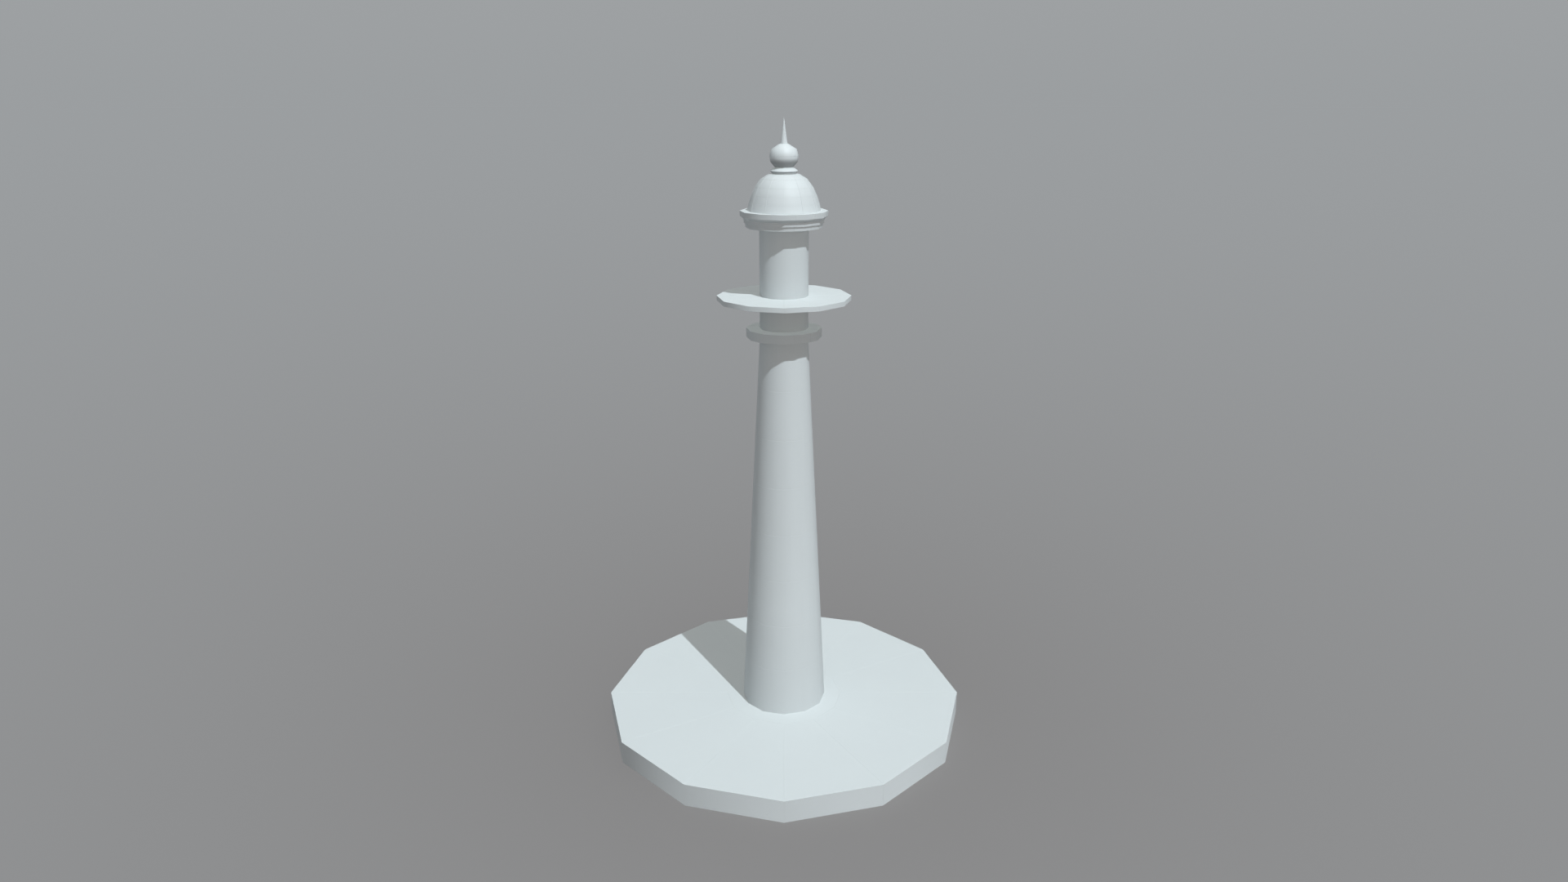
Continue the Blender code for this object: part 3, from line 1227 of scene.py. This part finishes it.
@dataclass
class Platform(SubAssembly):
    """Twelve cast slabs round a core, with sealed joints and formwork plugs on their outer faces."""

    joint: float = 0.005
    recess: float = 0.002
    ease: float = 0.006
    plug_radius: float = 0.02
    plug_height: float = 0.0015
    plug_rows: tuple[float, ...] = (0.25, 0.75)  # shares of the height
    plugs_each_side: int = 3

    def build(self) -> None:
        """Make the slabs, their joints and the plugs, and dress the core."""
        frame["nodes"][CORE].material_slots[0].material = CONCRETE.material()
        inner = radius_of(CORE)
        outer = inner + self.joint
        course = Course(
            BAYS[0], CONCRETE, SEALANT, self.joint, self.ease, recess=self.recess, inner=outer
        )
        self.lay(course, "platform_slab", "platform_joint_sealant", BAYS)
        top = top_of(CORE) - self.recess
        ring = [(inner, 0.0), (outer, 0.0), (outer, top), (inner, top)]
        self.trim("core_joint_sealant", eased(turned(ring)), SEALANT)
        rows = [self.plugs(top_of(CORE) * share) for share in self.plug_rows]
        self.trim("formwork_plugs", joined(rows), CONCRETE)

    def plugs(self, level: float) -> bpy.types.Mesh:
        """A row of the mortar plugs in the holes that the formwork's ties left."""
        sizes = (radius_of(BAYS[0]), level, self.plug_radius, self.plug_height)
        return Heads(Head.DOMED, *sizes, each_side=self.plugs_each_side).mesh(CONCRETE)


@dataclass
class Shaft(SubAssembly):
    """The tapered wall, cast in lifts with a fine joint between them."""

    lifts: int = 8
    fillet: float = 0.014

    def build(self) -> None:
        """Make the lifts and the sealant at their foot."""
        for lift in range(1, self.lifts + 1):
            self.wall(f"shaft_wall_{lift:02d}", f"shaft_lift_{lift:02d}", RENDER)
        foot = foot_of("shaft_lift_01")
        radius = radius_of("shaft_lift_01")
        outline = [
            (radius - self.fillet, foot),
            (radius + self.fillet, foot),
            (radius - self.fillet / 4, foot + self.fillet),
            (radius - self.fillet, foot + self.fillet),
        ]
        self.trim("shaft_foot_sealant", eased(turned(outline)), SEALANT)


@dataclass(frozen=True)
class StoneCourse(Course):
    """A course of washed stones in mortar."""

    finish: Finish = CORNICE_STONE
    filler: Finish = MORTAR
    joint: float = 0.004
    ease: float = 0.006


@dataclass
class Masonry(SubAssembly):
    """Courses of stones with mortar in their joints, and plain rendered walls."""

    courses: tuple[StoneCourse, ...]
    walls: tuple[str, ...]

    def build(self) -> None:
        """Make each course and each wall."""
        for course in self.courses:
            self.lay(course, f"{course.node}_stones", f"{course.node}_mortar", [course.node])
        for node in self.walls:
            self.wall(f"{node}_render", node, RENDER)


@dataclass
class Gallery(SubAssembly):
    """Twelve landings with a drip groove under their edge, and pointed joints."""

    joint: float = 0.006
    ease: float = 0.008
    drip: float = 0.06

    def build(self) -> None:
        """Make the landings and the pointing between them."""
        course = Course(LANDINGS[0], LANDING_STONE, MORTAR, self.joint, self.ease, drip=self.drip)
        self.lay(course, "gallery_landing", "gallery_pointing", LANDINGS)


@dataclass
class Dome(SubAssembly):
    """A shell of painted sheets in courses, with a roll on each arris and riveted laps."""

    radius: float = 1.475
    rise: float = 1.48
    roundness: float = 3.4
    steepness: float = 1.2
    courses: int = 4
    course_height: float = 0.31
    wall_depth: float = 0.06
    ease: float = 0.004
    eye: float = 0.30
    roll_radius: float = 0.005
    lap_bead: float = 0.004
    lap_sides: int = 6
    rivets_each_side: int = 7
    rivets_below_lap: float = 0.03
    rivet_radius: float = 0.007
    rivet_height: float = 0.003

    def build(self) -> None:
        """Make the shell, its rolls, its laps and its rivets."""
        foot = foot_of("dome")
        shape = RuledShell(self.radius, foot, self.rise, self.steepness, self.roundness)
        laps = [foot + course * self.course_height for course in range(self.courses + 1)]
        levels = [*laps, top_of("dome")]
        self.show("dome_shell", self.shell(shape, levels), DOME_PAINT, ["dome"])
        arris = wire([(shape.radius_at(level), 0.0, level) for level in levels])
        rolls = bars(arris, self.roll_radius, DOME_PAINT, count=SIDES)
        self.trim("dome_rolls", eased(rolls), DOME_PAINT)
        rings = [wire(ring_points(shape.radius_at(lap), lap), closed=True) for lap in laps[1:]]
        beads = [bars(ring, self.lap_bead, DOME_PAINT, self.lap_sides) for ring in rings]
        self.trim("dome_laps", eased(joined(beads)), DOME_PAINT)
        rivets = [self.rivets(shape, below, lap) for below, lap in zip(laps, laps[1:])]
        self.trim("dome_rivets", joined(rivets), DOME_PAINT)

    def shell(self, shape: RuledShell, levels: Sequence[float]) -> bpy.types.Mesh:
        """Make the shell, open at its eye, with the wall of the CAD node.

        Args:
            shape: The rule of its outer face.
            levels: The levels of its laps, from the foot to the crown.

        Returns:
            Its mesh.
        """
        mesh = eased(shape.mesh(levels, DOME_PAINT))
        crown = levels[-1] - MERGE
        with edited(mesh) as sheet:
            rim = [edge for edge in sheet.edges if edge.is_boundary and edge.verts[0].co.z > crown]
            made = bmesh.ops.extrude_edge_only(sheet, edges=rim)["geom"]
            for vertex in (item for item in made if isinstance(item, bmesh.types.BMVert)):
                vertex.co.xy *= self.eye / vertex.co.xy.length
            bmesh.ops.recalc_face_normals(sheet, faces=sheet.faces)
            if sum(face.normal.z * face.calc_area() for face in sheet.faces) < 0:
                bmesh.ops.reverse_faces(sheet, faces=sheet.faces)
        settings = {"thickness": self.wall_depth, "offset": -1.0, "use_even_offset": True}
        return eased(modified(mesh, "SOLIDIFY", settings), self.ease)

    def rivets(self, shape: RuledShell, below: float, lap: float) -> bpy.types.Mesh:
        """Make the rivets just below a lap.

        Args:
            shape: The rule of the shell's outer face.
            below: The level of the lap below it.
            lap: The lap's own level.

        Returns:
            Their mesh.
        """
        radius = shape.radius_at(lap)
        slope = (shape.radius_at(below) - radius) / (lap - below)
        row = Heads(
            head=Head.DOMED,
            radius=radius + slope * self.rivets_below_lap,
            level=lap - self.rivets_below_lap,
            head_radius=self.rivet_radius,
            head_height=self.rivet_height,
            lean=math.atan(slope * math.cos(HALF_BAY)),
            each_side=self.rivets_each_side,
        )
        return row.mesh(DOME_PAINT)


@dataclass
class Finial(SubAssembly):
    """A recessed neck, a collar, a spun ball with a seam round it, and a flanged spire."""

    collar_ease: float = 0.006
    ball_radius: float = 0.58
    ball_half_height: float = 0.50
    ball_squareness: float = 2.2
    ball_latitudes: tuple[float, ...] = (-53, -25, 3, 35, 76)
    ball_waist: int = 2  # which of its latitudes has the seam
    seam_bead: float = 0.003
    flange_width: float = 0.035
    flange_depth: float = 0.008
    flange_ease: float = 0.003
    bolts: int = 6
    bolt_radius: float = 0.009
    bolt_height: float = 0.008
    tip_radius: float = 0.004

    def build(self) -> None:
        """Make the neck, the collar, the ball and the spire."""
        self.wall("finial_neck", "dome_neck", FINIAL_PAINT)
        flare = [point for point in outline_of("collar") if point[0] > MERGE]
        flare.sort(key=lambda point: point[1])
        collar = eased(turned(flare, ring=False), self.collar_ease)
        self.show("finial_collar", collar, FINIAL_PAINT, ["collar"])
        self.ball()
        self.spire()

    def ball(self) -> None:
        """Make the ball, and the bead over the seam between its halves."""
        rise = self.ball_half_height
        heights = [rise * math.sin(math.radians(turn)) for turn in self.ball_latitudes]
        middle = foot_of("ball") - heights[0]
        square = self.ball_squareness
        shape = RuledShell(self.ball_radius, middle, rise, steepness=square, roundness=square)
        levels = [middle + height for height in heights]
        ball = eased(shape.mesh(levels, FINIAL_PAINT), fill=True)
        self.show("finial_ball", ball, FINIAL_PAINT, ["ball"])
        waist = levels[self.ball_waist]
        ring = wire(ring_points(shape.radius_at(waist), waist), closed=True)
        self.trim("ball_seam", eased(bars(ring, self.seam_bead, FINIAL_PAINT)), FINIAL_PAINT)

    def spire(self) -> None:
        """Make the spire, its flange and the bolts through it."""
        foot = foot_of("spire")
        radius = radius_of("spire")
        points = [(radius, foot), (self.tip_radius, top_of("spire"))]
        self.show("finial_spire", eased(turned(points, ring=False)), FINIAL_PAINT, ["spire"])
        head = foot + self.flange_depth
        points = [(radius + self.flange_width, level) for level in (foot, head)]
        flange = eased(turned(points, ring=False), self.flange_ease)
        self.show("spire_flange", flange, FINIAL_PAINT)
        row = Heads(
            head=Head.HEXAGON,
            radius=radius + self.flange_width / 2,
            level=head,
            head_radius=self.bolt_radius,
            head_height=self.bolt_height,
            lean=math.pi / 2,
            sides=self.bolts,
        )
        self.trim("flange_bolts", row.mesh(FINIAL_PAINT), FINIAL_PAINT)


@dataclass(frozen=True)
class Lamp:
    """A far lamp, whose light falls in one direction on everything but the floor."""

    name: str
    strength: float
    azimuth: float  # in degrees, to the camera's right, from the camera's own side
    height: float  # in degrees, above the horizon
    width: float  # in degrees, the angle that it fills
    colour: Colour
    casts: bool = True  # whether it casts shadows

    def add(self, floor: bpy.types.Object) -> None:
        """Add the lamp to the scene.

        Args:
            floor: The floor, which is left to the sky.
        """
        light = bpy.data.lights.new(self.name, "SUN")
        light.energy = self.strength
        light.color = self.colour
        light.angle = math.radians(self.width)
        light.use_shadow = self.casts
        light.cycles.use_multiple_importance_sampling = self.casts  # or it would still cast a part
        lamp = linked(self.name, light)
        azimuth = math.radians(self.azimuth)
        height = math.radians(self.height)
        level = math.cos(height)
        towards = Vector((-math.sin(azimuth) * level, math.cos(azimuth) * level, -math.sin(height)))
        lamp.rotation_euler = towards.to_track_quat("-Z", "Y").to_euler()
        unlit = bpy.data.collections.new(f"{self.name}_leaves_out")
        unlit.objects.link(floor)
        unlit.collection_objects[0].light_linking.link_state = "EXCLUDE"
        lamp.light_linking.receiver_collection = unlit


@dataclass
class Studio:
    """A wide pale floor, a soft sky, a crisp key lamp with two soft fills, and the camera."""

    floor_radius: float = 3000.0
    floor_sides: int = 96
    floor_drop: float = 0.001
    floor_tone: Colour = (0.2293, 0.2246, 0.2254)  # as it looks beside the tower
    floor_fade: float = 50.6  # how far it takes to reach the tone of the horizon
    floor_power: float = 1.38
    floor_glow: float = 0.7  # the share of its tone that it gives by itself, which hides a halo
    sky: tuple[tuple[float, Colour], ...] = (  # its light at each sine of the height
        (0.0, (0.3289, 0.3438, 0.3544)),
        (0.08, (0.342, 0.356, 0.366)),
        (0.2, (0.296, 0.309, 0.319)),
        (1.0, (0.296, 0.309, 0.319)),
    )
    lamps: tuple[Lamp, ...] = (
        Lamp("key", 2.5, 33, 53, 0.5, (0.875, 0.96, 1.0)),
        Lamp("ceiling_fill", 0.72, 0, 89, 60, (0.98, 1.0, 0.93), casts=False),
        Lamp("front_fill", 0.29, 24, 6, 20, (1.0, 0.79, 0.65)),
    )
    camera_back: float = 43.249
    camera_height: float = 27.29
    camera_dip: float = math.radians(18.013)
    camera_lens: float = 24.444
    sensor: float = 36.0

    def build(self) -> None:
        """Make all of it, and show colours as they are, without a film curve."""
        bpy.context.scene.view_settings.view_transform = "Standard"
        self.set_sky()
        floor = self.add_floor()
        for lamp in self.lamps:
            lamp.add(floor)
        self.add_camera()

    def set_sky(self) -> None:
        """Light the scene softly from all round, most strongly from just above the horizon."""
        world = bpy.data.worlds.new("studio_sky")
        bpy.context.scene.world = world
        world.use_nodes = True
        graph = Graph(world.node_tree)
        height = graph.height(graph.add("ShaderNodeTexCoord", {}, {}, "Generated"))
        tone = graph.add("ShaderNodeValToRGB", {"stops": self.sky}, {"Fac": graph.clamp(height)})
        graph.feed(world.node_tree.nodes["Background"].inputs["Color"], tone)

    def light_on_floor(self) -> Colour:
        """Work out how light the sky makes a level surface.

        Returns:
            The tone that a white one would have.
        """
        whole = np.zeros(3)
        for (low, first), (high, second) in zip(self.sky, self.sky[1:]):
            shares = np.array([2 * low + high, low + 2 * high]) * (high - low) / 3
            whole += shares @ np.array([first, second])
        return tuple(float(channel) for channel in whole)

    def floor_material(self) -> bpy.types.Material:
        """Write the floor's finish, whose tone fades into that of the horizon.

        Returns:
            The material.
        """
        material = bpy.data.materials.new("pale_floor")
        material.use_nodes = True
        graph = Graph(material.node_tree)
        reach = graph.reach(graph.add("ShaderNodeTexCoord", {}, {}, "Object"))
        share = 1 - (1 / (reach / self.floor_fade + 1)) ** self.floor_power
        tone = graph.mix(share, self.floor_tone, self.sky[0][1])
        lit = tuple((1 - self.floor_glow) / light for light in self.light_on_floor())
        shader = material.node_tree.nodes["Principled BSDF"]
        graph.feed(shader.inputs["Base Color"], graph.stretched(tone, lit))
        graph.feed(shader.inputs["Emission Color"], tone)
        shader.inputs["Emission Strength"].default_value = self.floor_glow
        shader.inputs["Roughness"].default_value = 1.0
        shader.inputs["Specular IOR Level"].default_value = 0.0
        return material

    def add_floor(self) -> bpy.types.Object:
        """Add the floor, a hair under the platform.

        Returns:
            The floor.
        """
        mesh = mesh_of()
        with edited(mesh) as shape:
            bmesh.ops.create_circle(
                shape, cap_ends=True, segments=self.floor_sides, radius=self.floor_radius
            )
        mesh.transform(Matrix.Translation((0.0, 0.0, -self.floor_drop)))
        mesh.materials.append(self.floor_material())
        floor = linked("studio_floor", mesh)
        return floor

    def add_camera(self) -> None:
        """Add the camera, at the photograph's place and angle."""
        lens = bpy.data.cameras.new("camera")
        lens.lens = self.camera_lens
        lens.sensor_width = self.sensor
        lens.clip_end = self.floor_radius * 3
        camera = linked("camera", lens)
        camera.location = (0.0, -self.camera_back, self.camera_height)
        camera.rotation_euler = (math.pi / 2 - self.camera_dip, 0.0, 0.0)
        bpy.context.scene.camera = camera


def main() -> None:
    """Build and dress the tower from the ground up, then light it."""
    logging.basicConfig(level=logging.INFO, format="%(message)s")
    belt = Masonry(
        courses=(StoneCourse("belt_course", joints=Joints.MID_SIDE, seed=2, drip=0.04),),
        walls=("neck_wall",),
    )
    head = Masonry(
        courses=(
            StoneCourse("cornice_bed", joints=Joints.MID_SIDE, seed=3),
            StoneCourse("cornice_band", joints=Joints.AT_ARRIS, seed=4),
            StoneCourse("cornice_lip", joints=Joints.MID_SIDE, seed=5),
        ),
        walls=("lantern_wall",),
    )
    for part in (Platform(), Shaft(), belt, Gallery(), head, Dome(), Finial()):
        part.build()
        LOG.info("%s: %d pieces", type(part).__name__, len(part.pieces))
    Studio().build()


if __name__ == "__main__":
    main()
